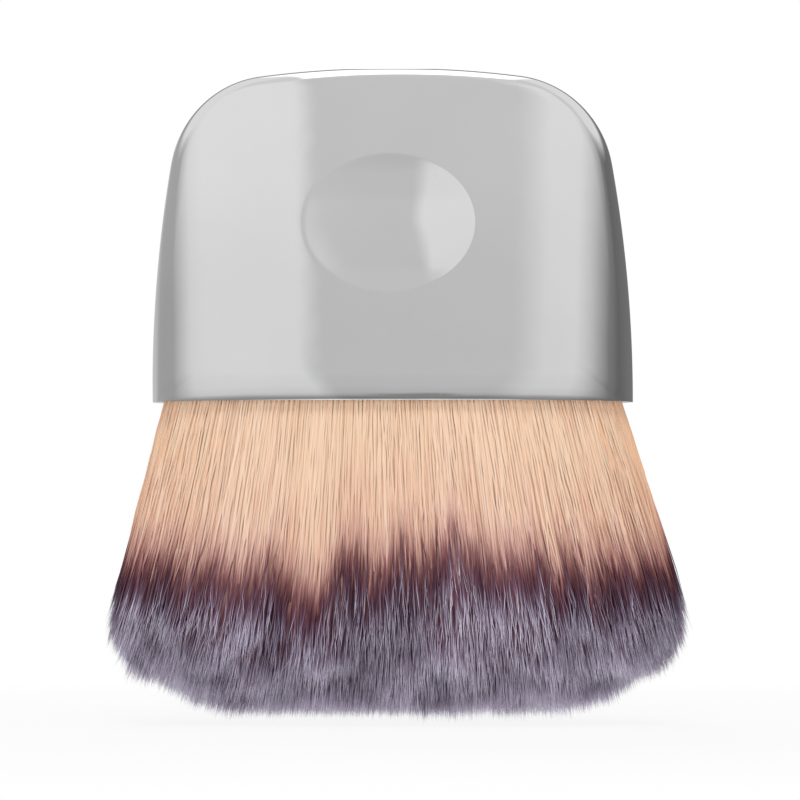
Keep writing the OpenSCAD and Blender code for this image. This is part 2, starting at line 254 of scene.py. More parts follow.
# Camera and studio
PIXEL = 0.1145 * MM
FRAME_PIXELS = 800
AIM_PIXEL = (7.5, 322)
CAMERA_DISTANCE = 0.6
CAMERA_AZIMUTH = math.radians(1.9)
CAMERA_ELEVATION = math.radians(-1.5)
SENSOR = 36


class Value:
    """A number on a socket. Arithmetic on it adds the Math nodes that it needs."""

    def __init__(self, net, socket):
        self.net = net
        self.socket = socket

    def __add__(self, other):
        return self.net.math("ADD", self, other)

    def __radd__(self, other):
        return self.net.math("ADD", other, self)

    def __sub__(self, other):
        return self.net.math("SUBTRACT", self, other)

    def __rsub__(self, other):
        return self.net.math("SUBTRACT", other, self)

    def __mul__(self, other):
        return self.net.math("MULTIPLY", self, other)

    def __rmul__(self, other):
        return self.net.math("MULTIPLY", other, self)

    def __truediv__(self, other):
        return self.net.math("DIVIDE", self, other)

    def __rtruediv__(self, other):
        return self.net.math("DIVIDE", other, self)

    def __pow__(self, other):
        return self.net.math("POWER", self, other)

    def __neg__(self):
        return self.net.math("MULTIPLY", self, -1)

    def __abs__(self):
        return self.net.math("ABSOLUTE", self)

    def __lt__(self, other):
        return self.net.math("LESS_THAN", self, other)

    def __gt__(self, other):
        return self.net.math("GREATER_THAN", self, other)

    def output(self, name):
        """Another output of the node that this one comes from."""
        return Value(self.net, found(self.socket.node.outputs, name))


def found(sockets, name):
    """The socket with that name or number among those in use, or the first of them."""
    used = [s for s in sockets if s.enabled]
    if name is None:
        return used[0]
    if isinstance(name, int):
        return used[name]
    return next(s for s in used if s.name == name)


class Net:
    """A node tree, and the one way in which a node is added to it."""

    def __init__(self, tree):
        self.tree = tree
        tree.nodes.clear()

    def add(self, kind, settings=None, sockets=None, output=None):
        """Adds a node, its settings first and then its sockets, and gives one of its outputs."""
        node = self.tree.nodes.new(kind)
        for name, value in (settings or {}).items():
            if name == "stops":
                fill_ramp(node.color_ramp, value)
            elif name == "kept":
                for kept in value:
                    node.capture_items.new("FLOAT", kept)
            else:
                setattr(node, name, value)
        for name, value in (sockets or {}).items():
            self.feed(found(node.inputs, name), value)
        return Value(self, found(node.outputs, output)) if node.outputs else None

    def feed(self, socket, value):
        if isinstance(value, Value):
            self.tree.links.new(value.socket, socket)
        else:
            socket.default_value = value

    def math(self, operation, *values):
        return self.add("ShaderNodeMath", {"operation": operation}, dict(enumerate(values)))

    def parts(self, vector):
        """The three numbers of a vector."""
        x = self.add("ShaderNodeSeparateXYZ", sockets={0: vector}, output="X")
        return x, x.output("Y"), x.output("Z")

    def vector(self, x, y, z=0):
        return self.add("ShaderNodeCombineXYZ", sockets={0: x, 1: y, 2: z})

    def blend(self, share, colour_a, colour_b, blend_type="MIX"):
        """Colour a where share is 0, and b, or its mix with a, where it is 1."""
        settings = {"data_type": "RGBA", "blend_type": blend_type}
        return self.add("ShaderNodeMix", settings, {"Factor": share, "A": colour_a, "B": colour_b})


def fill_ramp(ramp, stops):
    """Gives a colour ramp its stops, each a place from 0 to 1 and a colour or a grey."""
    for place, colour in stops[2:]:
        ramp.elements.new(place)
    for element, (place, colour) in zip(ramp.elements, stops):
        element.position = place
        element.color = rgba(colour)


def rgba(colour):
    """A colour as four numbers, from its three or from a grey."""
    return (colour, colour, colour, 1) if isinstance(colour, (int, float)) else (*colour, 1)


def sine(angle):
    return angle.net.math("SINE", angle)


def cosine(angle):
    return angle.net.math("COSINE", angle)


def heading(x, y):
    return x.net.math("ARCTAN2", y, x)


def whole(value):
    return value.net.math("FLOOR", value)


def fraction(value):
    return value.net.math("FRACT", value)


def clamped(value):
    return larger(smaller(value, 1), 0)


def smaller(value, limit):
    return value.net.math("MINIMUM", value, limit)


def larger(value, limit):
    return value.net.math("MAXIMUM", value, limit)


def pick(test, yes, no):
    """yes where test is 1, and no where it is 0."""
    return no + (yes - no) * test


def toward(start, end, share):
    """The points between two places of a plane."""
    return tuple(a + (b - a) * share for a, b in zip(start, end))


def smooth(value, low, high):
    """A soft step from 0 at low to 1 at high."""
    sockets = {"Value": value, "From Min": low, "From Max": high}
    return value.net.add("ShaderNodeMapRange", {"interpolation_type": "SMOOTHSTEP"}, sockets)


def ramped(value, stops):
    """The colour of a ramp at value."""
    return value.net.add("ShaderNodeValToRGB", {"stops": stops}, {"Fac": value})


def bump_at(value, middle, half_width):
    """A rounded bump of height 1 over the middle, and 0 past the half-width."""
    return larger(1 - ((value - middle) / half_width) ** 2, 0) ** 2


def label(name):
    return name.replace("_", " ").capitalize()


def sized_net(name, sizes):
    """A Geometry Nodes tree with a named input for each size, and those inputs' values."""
    tree = bpy.data.node_groups.new(name, "GeometryNodeTree")
    net = Net(tree)
    tree.interface.new_socket("Mesh", in_out="OUTPUT", socket_type="NodeSocketGeometry")
    for key, value in sizes.items():
        kind = "NodeSocketInt" if isinstance(value, int) else "NodeSocketFloat"
        tree.interface.new_socket(label(key), in_out="INPUT", socket_type=kind).default_value = value
    first = net.add("NodeGroupInput")
    return net, SimpleNamespace(**{key: first.output(label(key)) for key in sizes})


def grown(name, tree, sizes):
    """A plain mesh object, made by a tree from these sizes."""
    piece = bpy.data.objects.new(name, bpy.data.meshes.new(name))
    scene.collection.objects.link(piece)
    modifier = piece.modifiers.new(tree.name, "NODES")
    modifier.node_group = tree
    inputs = {s.name: s.identifier for s in tree.interface.items_tree if s.in_out == "INPUT"}
    for key, value in sizes.items():
        modifier[inputs[label(key)]] = value
    return flattened(piece)


def flattened(piece):
    """Makes what an object's modifiers give its own mesh."""
    graph = bpy.context.evaluated_depsgraph_get()
    mesh = bpy.data.meshes.new_from_object(piece.evaluated_get(graph), depsgraph=graph)
    mesh.name = piece.name
    piece.modifiers.clear()
    piece.data = mesh
    return piece


# Handle


def outline_arcs(s):
    """The side, the corner and the crown of the right half: centre, radius, first and last heading."""
    side_x = s.width / 2 - s.side_radius
    crown_z = s.crown_height + s.crown_flat - s.crown_radius
    apart_z = crown_z - s.mouth_height
    apart = (side_x**2 + apart_z**2) ** 0.5
    near = s.side_radius - s.corner_radius
    along = (apart**2 + near**2 - (s.crown_radius - s.corner_radius) ** 2) / (2 * apart)
    off = (near**2 - along**2) ** 0.5
    corner_x = side_x - (side_x * along + apart_z * off) / apart
    corner_z = s.mouth_height + (apart_z * along - side_x * off) / apart
    side_end = heading(corner_x - side_x, corner_z - s.mouth_height)
    corner_end = heading(corner_x, corner_z - crown_z)
    return (
        (side_x, s.mouth_height, s.side_radius, 0, side_end),
        (corner_x, corner_z, s.corner_radius, side_end, corner_end),
        (0, crown_z, s.crown_radius, corner_end, RIGHT_ANGLE),
    )


def outline_place(s, step):
    """Which way a step of the outline faces, and the arc and heading that it lies on."""
    up = HALF_STEPS - abs(step - HALF_STEPS)
    on_side = up < SIDE_STEPS
    on_crown = up > SIDE_STEPS + CORNER_STEPS
    starts = (0, SIDE_STEPS, SIDE_STEPS + CORNER_STEPS)
    counts = (SIDE_STEPS, CORNER_STEPS, CROWN_STEPS)
    arcs = [
        (x, z, radius, first + (last - first) * (up - start) / count)
        for (x, z, radius, first, last), start, count in zip(outline_arcs(s), starts, counts)
    ]
    x, z, radius, turn = (
        pick(on_side, side, pick(on_crown, crown, corner)) for side, corner, crown in zip(*arcs)
    )
    mirror = 2 * (step > HALF_STEPS) - 1
    return mirror, x, z, radius, turn


def on_outline(place, inset):
    mirror, x, z, radius, turn = place
    return mirror * (x + (radius - inset) * cosine(turn)), z + (radius - inset) * sine(turn)


def face_depth(s, x, z):
    """Depth of a face from the middle plane, before its dimple and its rolled rim."""
    taper = (s.mouth_depth - s.crown_depth) / 2 / (s.crown_height - s.mouth_height)
    half_depth = s.mouth_depth / 2 - taper * (z - s.mouth_height)
    across = abs(x) / (s.width / 2 + s.face_reach)
    return half_depth * larger(1 - across**s.fullness, 0) ** (1 / s.fullness)


def dimple(s, x, z):
    """Depth of the thumb dimple, a shallow bowl with a slightly softened rim."""
    up = z - s.mouth_height - s.dimple_rise
    bowl = s.dimple_depth * (1 - (2 * x / s.dimple_width) ** 2 - (2 * up / s.dimple_height) ** 2)
    return (bowl + (bowl**2 + s.dimple_softness**2) ** 0.5) / 2


def handle_tree(material):
    """The skin of the handle, open at its mouth.

    Its net has rings from the middle of the front out to the edge, and in again to the middle of
    the back. A ring runs over the crown and back along the mouth.
    """
    net, s = sized_net("handle skin", HANDLE)
    grid = net.add(
        "GeometryNodeMeshGrid",
        sockets={"Size X": 1, "Size Y": 1, "Vertices X": COLUMNS + 1, "Vertices Y": 2 * RINGS + 2},
    )
    x, y = net.parts(net.add("GeometryNodeInputPosition"))[:2]
    column = (x + 0.5) * COLUMNS
    row = (y + 0.5) * (2 * RINGS + 1)
    ring = RINGS + 0.5 - abs(row - RINGS - 0.5)
    front = row < RINGS + 0.5
    on_mouth = column > OUTLINE_STEPS

    edge = larger((ring - EDGE_START) / EDGE_RINGS, 0)
    inset = s.edge_radius * (1 - sine(edge * RIGHT_ANGLE))
    place = outline_place(s, column)
    mouth_end = s.width / 2 - s.edge_radius
    mouth_turn = (column - OUTLINE_STEPS) / MOUTH_STEPS * math.pi
    mouth = (mouth_end * cosine(mouth_turn), s.mouth_height)
    outer = tuple(pick(on_mouth, m, o) for m, o in zip(mouth, on_outline(place, inset)))

    middle = (0, s.mouth_height + s.dimple_rise)
    aim = heading(outer[0] * s.dimple_height, (outer[1] - middle[1]) * s.dimple_width)
    rim = (s.dimple_width / 2 * cosine(aim), middle[1] + s.dimple_height / 2 * sine(aim))
    in_dimple = 1 - (1 - smaller(ring / DIMPLE_RINGS, 1)) ** 2
    past_dimple = smaller(larger((ring - DIMPLE_RINGS) / FACE_RINGS, 0), 1) ** RING_CROWDING
    flat_x, flat_z = toward(toward(middle, rim, in_dimple), outer, past_dimple)

    depth = face_depth(s, flat_x, flat_z)
    edge_depth = face_depth(s, *on_outline(place, 0))
    band = larger(edge_depth - s.edge_radius, edge_depth * s.edge_share)
    rounding = larger(1 - (1 - inset / s.edge_radius) ** 2, 0) ** 0.5
    at_edge = (edge > 0) * (1 - on_mouth)
    depth = pick(at_edge, band + (depth - band) * rounding, depth)
    roll = s.roll_depth * larger(1 - (flat_z - s.mouth_height) / s.roll_height, 0) ** 3
    depth = depth - dimple(s, flat_x, flat_z) * front - roll

    spare = on_mouth * (ring > EDGE_START)
    kept = net.add(
        "GeometryNodeDeleteGeometry", {"domain": "FACE"}, {"Geometry": grid, "Selection": spare}
    )
    spot = net.vector(flat_x, depth * (1 - 2 * front), smaller(flat_z, s.crown_height))
    skin = net.add("GeometryNodeSetPosition", sockets={"Geometry": kept, "Position": spot})
    skin = net.add("GeometryNodeMergeByDistance", sockets={"Geometry": skin, "Distance": s.weld})
    return finished_tree(net, skin, material)


def finished_tree(net, mesh, material, rounded=True):
    """Ends a tree with whole geometry in its material, shaded as rounded or as flat faces."""
    mesh = net.add("GeometryNodeRealizeInstances", sockets={"Geometry": mesh})
    mesh = net.add("GeometryNodeSetShadeSmooth", sockets={0: mesh, "Shade Smooth": rounded})
    mesh = net.add("GeometryNodeSetMaterial", sockets={"Geometry": mesh, "Material": material})
    net.add("NodeGroupOutput", sockets={0: mesh})
    return net.tree


def make_handle():
    """The chromed shell, with its wall and its rounded lip."""
    handle = grown("handle", handle_tree(mirror_chrome()), HANDLE)
    wall = handle.modifiers.new("wall", "SOLIDIFY")
    wall.thickness = WALL
    wall.offset = -1
    lip = handle.modifiers.new("lip", "BEVEL")
    lip.width = LIP_RADIUS
    lip.segments = LIP_SEGMENTS
    lip.limit_method = "ANGLE"
    lip.angle_limit = LIP_SHARPEST
    flattened(handle)
    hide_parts("handle_shell")
    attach(handle, "root")


# Bristles


def fill_share(across, fullness):
    """Share of its depth that the bundle fills at that share of its half-width."""
    return larger_of(1 - abs(across) ** fullness) ** (1 / fullness)


def larger_of(value):
    return larger(value, 0) if isinstance(value, Value) else max(value, 0)


def calmed(across, start, full, share):
    """1 in the middle of the head, and less by a share at its two ends."""
    return 1 - share * smooth(abs(across), start, full)


def tip_height(s, across, deep):
    """Height of the rounded end of the head at a place of the bundle's plan.

    The skirt of the head is a little uneven and tufted, and one of its locks hangs low.
    """
    net = across.net
    out = smaller((abs(across) ** s.fullness + abs(deep) ** s.fullness) ** (1 / s.fullness), 1)
    fall = (1 - out**s.dome_fullness) ** (1 / s.dome_fullness)
    spot = net.vector(across, deep)
    ripple = net.add("ShaderNodeTexNoise", sockets={"Vector": spot, "Scale": RIPPLE_SCALE, "Detail": 1})
    lock = sum(share * bump_at(across, place, half_width) for place, half_width, share in SKIRT_SHARES)
    drop = s.lock_drop * lock * (deep < 0) + s.skirt_ripple * (ripple - 0.5) * 2
    skirt = s.dome_height * (1 - fall) - s.tip_flat - drop * abs(deep) * out**4
    spot = net.vector(across * s.half_width / s.tuft_size, skirt / s.tuft_size)
    tufts = net.add("ShaderNodeTexNoise", sockets={"Vector": spot, "Scale": 1, "Detail": 1})
    loose = smooth(skirt, 0, s.tuft_fade) * calmed(across, *TUFT_CALM)
    return larger(skirt + s.tuft_depth * (tufts - 0.5) * 2 * loose, 0)


def spread_at(s, height):
    """Half-width and half-depth of the bundle at a height."""
    spread = s.flare * (s.mouth_height - smaller(height, s.rim_height))
    return s.half_width + spread, s.half_depth + spread


def full_spread(s):
    """Half-width and half-depth of the bundle at height 0."""
    spread = s.flare * s.mouth_height
    return s.half_width + spread, s.half_depth + spread


def random_share(net, seed, salt):
    """A random share of 1 for each point, another one for each salt."""
    return net.add("FunctionNodeRandomValue", {"data_type": "FLOAT"}, {"Seed": seed + salt})


def either_way(chance, spread):
    """From -spread to spread, by chance."""
    return (chance - 0.5) * 2 * spread


def cell_of(s, across, deep, size):
    """The nearest of the scattered places that gather bristles, and a random share of its own."""
    net = across.net
    wide, thick = full_spread(s)
    here = net.vector(across * wide / size, deep * thick / size)
    cells = net.add("ShaderNodeTexVoronoi", {"voronoi_dimensions": "2D"}, {"Vector": here, "Scale": 1})
    x, y = net.parts(cells.output("Position"))[:2]
    chance = net.parts(cells.output("Color"))[0]
    return x * size / wide, y * size / thick, chance


def lane_middle(share):
    """The middle of the lane of the dye's map that a share falls in."""
    return (whole(share * LANES) + 0.5) / LANES


def planting(net, s):
    """What each strand of a hank is told: the place of its root, and what it draws by chance."""
    index = net.add("GeometryNodeInputIndex") + s.seed
    step = s.strands**-0.5
    spread, depth = (
        fraction(index * stride) + (random_share(net, s.seed, salt) - 0.5) * step
        for salt, stride in enumerate(EVEN_STRIDES)
    )
    across = s.outer + (s.inner - s.outer) * clamped(spread) ** s.thinning
    through = s.near + (s.far - s.near) * clamped(depth)
    deep = fill_share(across, s.fullness) * through
    layer = abs(through)
    clump_across, clump_deep, clump_chance = cell_of(s, across, deep, s.clump_size)
    lock_chance = cell_of(s, across, deep, s.lock_size)[2]
    draws = enumerate(CHANCES, len(EVEN_STRIDES))
    chance = SimpleNamespace(**{name: random_share(net, s.seed, salt) for salt, name in draws})

    gathered = LOCK_LENGTH_SHARE * lock_chance + (1 - LOCK_LENGTH_SHARE) * clump_chance
    short = s.length_spread * chance.length + s.lock_length_spread * gathered
    wild = s.wild * larger(1 - (1 - chance.wild) / WILD_SHARE, 0)
    stray = (s.stray + wild) * calmed(across, *STRAY_CALM)
    plumpness = larger(smooth(1 - layer, 1 - OUTERMOST_LAYER, 1 - SURFACE_LAYER), SURFACE_PLUMPNESS)
    wide, thick = full_spread(s)
    spot = net.vector(across * wide / s.patch_size, deep * thick / s.patch_size)
    patch = net.add("ShaderNodeTexNoise", sockets={"Vector": spot, "Scale": 1, "Detail": 1})
    of_clump, of_strand, of_patch = SHADE_SHARES
    shade = of_clump * clump_chance + of_strand * chance.shade
    shade = shade + of_patch * clamped(0.5 + (patch - 0.5) * PATCH_CONTRAST)
    turn_power = s.fullness - 2
    facing = heading(across * abs(across) ** turn_power * thick, deep * abs(deep) ** turn_power * wide)
    dye = either_way(chance.dye, s.dye_jitter) + s.lock_dye_jitter * (lock_chance - 0.5)
    return {
        "across": across,
        "deep": deep,
        "clump_across": clump_across,
        "clump_deep": clump_deep,
        "tip": tip_height(s, across, deep) + short,
        "stray_x": either_way(chance.stray_x, stray),
        "stray_y": either_way(chance.stray_y, stray),
        "thickness": 1 + either_way(chance.thickness, THICKNESS_SPREAD),
        "plumpness": s.inner_plumpness * plumpness,
        "inner": layer < SURFACE_LAYER,
        "lane": lane_middle(shade),
        "dye": dye - short * LENGTH_DYE_SHARE,
        "own": chance.own,
        "turn": facing + math.pi + either_way(chance.thickness, TURN_SPREAD),
    }


def bent_strand(net, s, strand):
    """Where a point of an upright stick lies on the bent strand, and on the map of the dye."""
    flat_x, flat_y, up = net.parts(net.add("GeometryNodeInputPosition"))
    round_x = flat_x * cosine(strand.turn) - flat_y * sine(strand.turn)
    round_y = flat_x * sine(strand.turn) + flat_y * cosine(strand.turn)
    segments = pick(strand.inner, INNER_SEGMENTS, OUTER_SEGMENTS)
    step = (0.5 - up) * segments
    fall = larger((step - 1) / (segments - 1), 0)
    fall = 1 - (1 - fall) ** (STRAND_CROWDING + STRAND_CROWDING_SPREAD * strand.own)
    in_cup = (s.rim_height - s.slice_high) * smaller(step, 1)
    height = s.slice_high + in_cup - (s.rim_height - strand.tip) * fall
    to_tip = height - strand.tip
    wide, thick = spread_at(s, height)

    below = (s.rim_height - smaller(height, s.rim_height)) / s.rim_height
    pull = s.clump_pull * (1 - smooth(to_tip, 0, s.clump_reach))
    bend = below**2 + s.tip_curl * (1 - smaller(to_tip / s.curl_reach, 1)) ** 2
    spot = net.vector(strand.own * WAVE_STREAMS, height / s.wave_length)
    waves = net.add("ShaderNodeTexNoise", sockets={"Vector": spot, "Scale": 1, "Detail": 0}, output="Color")
    swing = WAVE_SWING * s.wave * smaller(below / WAVE_START_SHARE, 1)
    wave_x, wave_y = (swing * (wave - 0.5) for wave in net.parts(waves)[:2])
    drop = larger(s.mouth_height - height, 0)
    lean = s.lean * drop * (1 - (drop / s.lean_drop) ** 3)
    x = (strand.across + (strand.clump_across - strand.across) * pull) * wide
    x = x + lean + bend * strand.stray_x + wave_x
    y = (strand.deep + (strand.clump_deep - strand.deep) * pull) * thick
    y = y + bend * strand.stray_y + wave_y

    plump = 1 + strand.plumpness * smooth(to_tip, s.plump_from, s.plump_from * 2)
    taper = smaller(to_tip / s.strand_taper, 1) ** TAPER_POWER
    radius = s.strand_radius * strand.thickness * plump * taper
    spot = net.vector(x + round_x * radius, y + round_y * radius, height)
    along = larger(to_tip - strand.dye, to_tip * LEAST_DYE_SHARE) / DYE_LENGTH + DYE_START
    return spot, net.vector(strand.lane + round_x * LANE_FILL_SHARE / LANES, along)


def hank_tree(material):
    """One hank: its bristles, each bent and tapered by formula, and the slice that they are set in."""
    net, s = sized_net("bristle hank", HANK)
    points = net.add("GeometryNodePoints", sockets={"Count": s.strands})
    points, strand = captured(net, points, planting(net, s))
    inner_sticks = sticks_on(net, points, strand.inner, INNER_SEGMENTS)
    outer_sticks = sticks_on(net, points, 1 - strand.inner, OUTER_SEGMENTS)
    spot, on_map = bent_strand(net, s, strand)
    sticks = mapped(net, joined(net, inner_sticks, outer_sticks), on_map)
    sticks = net.add("GeometryNodeSetPosition", sockets={"Geometry": sticks, "Position": spot})
    return finished_tree(net, joined(net, sticks, slice_block(net, s)), material, rounded=False)


def sticks_on(net, points, chosen, segments):
    """An upright prism of height and radius 1 on each chosen point."""
    stick = net.add(
        "GeometryNodeMeshCylinder",
        {"fill_type": "NONE"},
        {"Vertices": STRAND_SIDES, "Side Segments": segments, "Radius": 1, "Depth": 1},
    )
    sockets = {"Points": points, "Selection": chosen, "Instance": stick}
    sticks = net.add("GeometryNodeInstanceOnPoints", sockets=sockets)
    return net.add("GeometryNodeRealizeInstances", sockets={"Geometry": sticks})


def joined(net, first, second):
    both = net.add("GeometryNodeJoinGeometry", sockets={0: second})
    net.feed(both.socket.node.inputs[0], first)
    return both


def mapped(net, mesh, on_map):
    """Keeps on a mesh the map that its dye is read from."""
    settings = {"data_type": "FLOAT2", "domain": "CORNER"}
    sockets = {"Geometry": mesh, "Name": DYE_MAP, "Value": on_map}
    return net.add("GeometryNodeStoreNamedAttribute", settings, sockets)


def slice_block(net, s):
    """The slice of resin that holds the roots of a hank."""
    block = net.add(
        "GeometryNodeMeshCube",
        sockets={"Size": (1, 1, 1), "Vertices X": SLICE_SEGMENTS + 1, "Vertices Y": 2, "Vertices Z": 2},
    )
    x, y, z = net.parts(net.add("GeometryNodeInputPosition"))
    end = smaller(larger(s.outer, -PLAN_END_SHARE), PLAN_END_SHARE)
    low, high = smaller(s.inner, end), larger(s.inner, end)
    across = low + (high - low) * (x + 0.5)
    deep = fill_share(across, s.fullness) * (s.near + (s.far - s.near) * (y + 0.5))
    height = s.slice_low + (s.slice_high - s.slice_low) * (z + 0.5)
    wide, thick = spread_at(s, height)
    block = mapped(net, block, net.vector(0.5 + x / LANES, SLICE_ALONG + z * SLICE_ALONG_SPREAD))
    spot = net.vector(across * wide, deep * thick, height)
    return net.add("GeometryNodeSetPosition", sockets={"Geometry": block, "Position": spot})


def captured(net, geometry, values):
    """Keeps values on points, so that what grows on the points can read them."""
    sockets = {"Geometry": geometry, **values}
    points = net.add("GeometryNodeCaptureAttribute", {"kept": list(values)}, sockets)
    return points, SimpleNamespace(**{name: points.output(name) for name in values})


HANK = {
    "outer": 1.0,
    "inner": 0.6,
    "near": -1.0,
    "far": 1.0,
    "thinning": 1.0,
    "strands": 1500,
    "seed": 1,
    **BUNDLE,
}


def hank_sizes(column, row):
    """The part of the bundle's plan that a hank takes up, and its share of the bristles."""
    from_share = 2 * column / HANK_COLUMNS - 1
    to_share = 2 * (column + 1) / HANK_COLUMNS - 1
    at_left, at_right = column == 0, column == HANK_COLUMNS - 1
    outer, inner = (from_share, to_share) if at_left else (to_share, from_share)
    rows = len(HANK_ROWS)
    middles = [2 * (c + 0.5) / HANK_COLUMNS - 1 for c in range(HANK_COLUMNS)]
    room = fill_share(middles[column], FULLNESS) / sum(fill_share(m, FULLNESS) for m in middles)
    return {
        **BUNDLE,
        "outer": outer,
        "inner": inner,
        "near": 2 * row / rows - 1,
        "far": 2 * (row + 1) / rows - 1,
        "thinning": END_THINNING if at_left or at_right else 1.0,
        "strands": round(STRANDS * room / rows),
        "seed": 10 * (row * HANK_COLUMNS + column),
    }


def make_bristles():
    """Every hank of the head, each in place of its node."""
    tree = hank_tree(dyed_bristle())
    for row, row_name in enumerate(HANK_ROWS):
        for column in range(HANK_COLUMNS):
            node = f"{row_name}_hank_{column + 1}"
            hank = grown(f"{node}_bristles", tree, hank_sizes(column, row))
            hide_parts(node)
            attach(hank, "root")


# Materials


def new_material(name):
    """A material with an empty tree, and its net."""
    material = bpy.data.materials.new(name)
    material.use_nodes = True
    return material, Net(material.node_tree)


def finish_material(net, sockets):
    shader = net.add("ShaderNodeBsdfPrincipled", sockets=sockets)
    net.add("ShaderNodeOutputMaterial", sockets={"Surface": shader})


def noise(net, where, scale, detail=3):
    """Noise about 0.5, with features of about 1 / scale metres."""
    return net.add("ShaderNodeTexNoise", sockets={"Vector": where, "Scale": scale, "Detail": detail})


def raised(net, height, distance, strength=1):
    """A normal that a height moves by no more than the distance."""
    return net.add("ShaderNodeBump", sockets={"Height": height, "Distance": distance, "Strength": strength})


def toned(net, name, share):
    """From the darkest colour of a finish, where share is 0, to its lightest."""
    dark, light = TONES[name]
    return net.blend(share, rgba(dark), rgba(light))


def roughness(name, share):
    """Roughness of a finish where its noise or its tone has that share."""
    basis, added = ROUGHNESS[name]
    return basis + added * share


def mirror_chrome():
    """Polished chrome plate: faint orange peel, handling haze and dust-fine pits, and painted light that
    makes its colour lighter toward the top.
    """
    name = "mirror_chrome"
    material, net = new_material(name)
    where = net.add("ShaderNodeTexCoord", output="Object")
    haze = noise(net, where, HAZE_SCALE, detail=5)
    peel = noise(net, where, PEEL_SCALE)
    pits = net.add("ShaderNodeTexVoronoi", sockets={"Vector": where, "Scale": PIT_SCALE})
    pitted = 1 - smooth(pits, *PIT_EDGE)
    up = net.parts(where)[2]
    finish_material(
        net,
        {
            # Base colour: random handling haze, plus painted light that lightens the chrome toward the top
            "Base Color": toned(net, name, (haze + smooth(up, *CHROME_PAINTED_LIGHT_HEIGHTS)) / 2),
            "Metallic": 1,
            "Roughness": roughness(name, haze) + PIT_ROUGHNESS * pitted,
            "Normal": raised(net, peel, PEEL_DEPTH),
        },
    )
    return material


def dyed_bristle():
    """Synthetic fibre, dyed in bands from its tip: lavender, plum and then peach to cream.

    The bristle's own map runs across from its darkest to its lightest fibres, and along each one.
    """
    name = "dyed_bristle"
    material, net = new_material(name)
    lane, along = net.parts(net.add("ShaderNodeUVMap", {"uv_map": DYE_MAP}))[:2]
    from_tip, *tones = zip(*DYE_BANDS)
    places = [mm * MM / DYE_LENGTH for mm in from_tip]
    deep, pale = (ramped(along, list(zip(places, tone))) for tone in tones)
    share = smooth(lane_middle(lane), *FIBRE_TONES)
    sockets = {
        "Base Color": net.blend(share, deep, pale),
        "Roughness": roughness(name, share),
        "Specular IOR Level": FIBRE_SHINE,
    }
    finish_material(net, sockets)
    return material


# Distance from the tip in millimetres, and the dye's colour there in the darkest and the palest fibres
DYE_BANDS = [
    (0.0, (0.50, 0.47, 0.56), (0.90, 0.89, 0.97)),
    (1.6, (0.285, 0.24, 0.325), (0.83, 0.77, 0.92)),
    (2.8, (0.113, 0.081, 0.127), (0.45, 0.38, 0.51)),
    (3.9, (0.066, 0.032, 0.054), (0.23, 0.135, 0.20)),
    (5.8, (0.070, 0.021, 0.035), (0.16, 0.060, 0.080)),
    (7.5, (0.23, 0.086, 0.090), (0.40, 0.18, 0.175)),
    (9.2, (0.60, 0.33, 0.27), (0.76, 0.48, 0.41)),
    (12.5, (0.86, 0.57, 0.42), (0.94, 0.69, 0.54)),
    (20.0, (0.92, 0.665, 0.475), (0.95, 0.715, 0.535)),
    (50.0, (0.92, 0.665, 0.475), (0.95, 0.715, 0.535)),
    (58.0, (0.55, 0.38, 0.18), (0.62, 0.45, 0.22)),
]


def moulded_plastic():
    """Black moulded plastic with a fine spark-eroded grain."""
    name = "moulded_plastic"
    material, net = new_material(name)
    where = net.add("ShaderNodeTexCoord", output="Object")
    grain = noise(net, where, GRAIN_SCALE, detail=2)
    finish_material(
        net,
        {
            "Base Color": toned(net, name, noise(net, where, TONE_SCALE)),
            "Roughness": roughness(name, grain),
            "Normal": raised(net, grain, GRAIN_DEPTH),
        },
    )
    return material


def drawn_metal(name):
    """Metal with fine lines along its length, from drawing or sawing."""
    material, net = new_material(name)
    x, y, z = net.parts(net.add("ShaderNodeTexCoord", output="Object"))
    lines = noise(net, net.vector(x * LINE_STRETCH, y, z), LINE_SCALE)
    stain = noise(net, net.vector(x, y, z), STAIN_SCALE)
    finish_material(
        net,
        {
            "Base Color": toned(net, name, stain),
            "Metallic": 1,
            "Roughness": roughness(name, lines),
            "Normal": raised(net, lines, LINE_DEPTH),
        },
    )
    return material


def set_resin(name):
    """Cured resin, clouded and a little uneven."""
    material, net = new_material(name)
    where = net.add("ShaderNodeTexCoord", output="Object")
    cloud = noise(net, where, CLOUD_SCALE, detail=4)
    finish_material(
        net,
        {
            "Base Color": toned(net, name, cloud),
            "Roughness": roughness(name, cloud),
            "Normal": raised(net, cloud, CLOUD_DEPTH),
        },
    )
    return material


def finish_inner_pieces():
    """The pieces inside the handle keep their solids and get their own finishes."""
    resin = set_resin("amber_resin")
    glue = set_resin("clear_glue")
    finishes = {
        "insert_frame": moulded_plastic(),
        "balance_weight": drawn_metal("sawn_steel"),
        "bristle_cup": drawn_metal("drawn_aluminium"),
        "root_resin": resin,
        "cup_adhesive": glue,
        "rib_adhesive": glue,
    }
    for node, material in finishes.items():
        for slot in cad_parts[node].material_slots:
            slot.material = material


# Camera, floor and light


def make_camera():
    """A long lens, level with the bristles and aimed a little up."""
    aside = Vector((math.cos(CAMERA_AZIMUTH), math.sin(CAMERA_AZIMUTH), 0))
    aim = aside * AIM_PIXEL[0] * PIXEL + Vector((0, 0, AIM_PIXEL[1] * PIXEL))
    level = Vector((math.sin(CAMERA_AZIMUTH), -math.cos(CAMERA_AZIMUTH), 0))
    back = level * math.cos(CAMERA_ELEVATION) + Vector((0, 0, math.sin(CAMERA_ELEVATION)))
    data = bpy.data.cameras.new("camera")
    data.sensor_width = SENSOR
    data.lens = SENSOR * CAMERA_DISTANCE / (FRAME_PIXELS * PIXEL)
    camera = bpy.data.objects.new("camera", data)
    camera.location = aim + back * CAMERA_DISTANCE
    camera.rotation_euler = (-back).to_track_quat("-Z", "Y").to_euler()
    scene.collection.objects.link(camera)
    scene.camera = camera


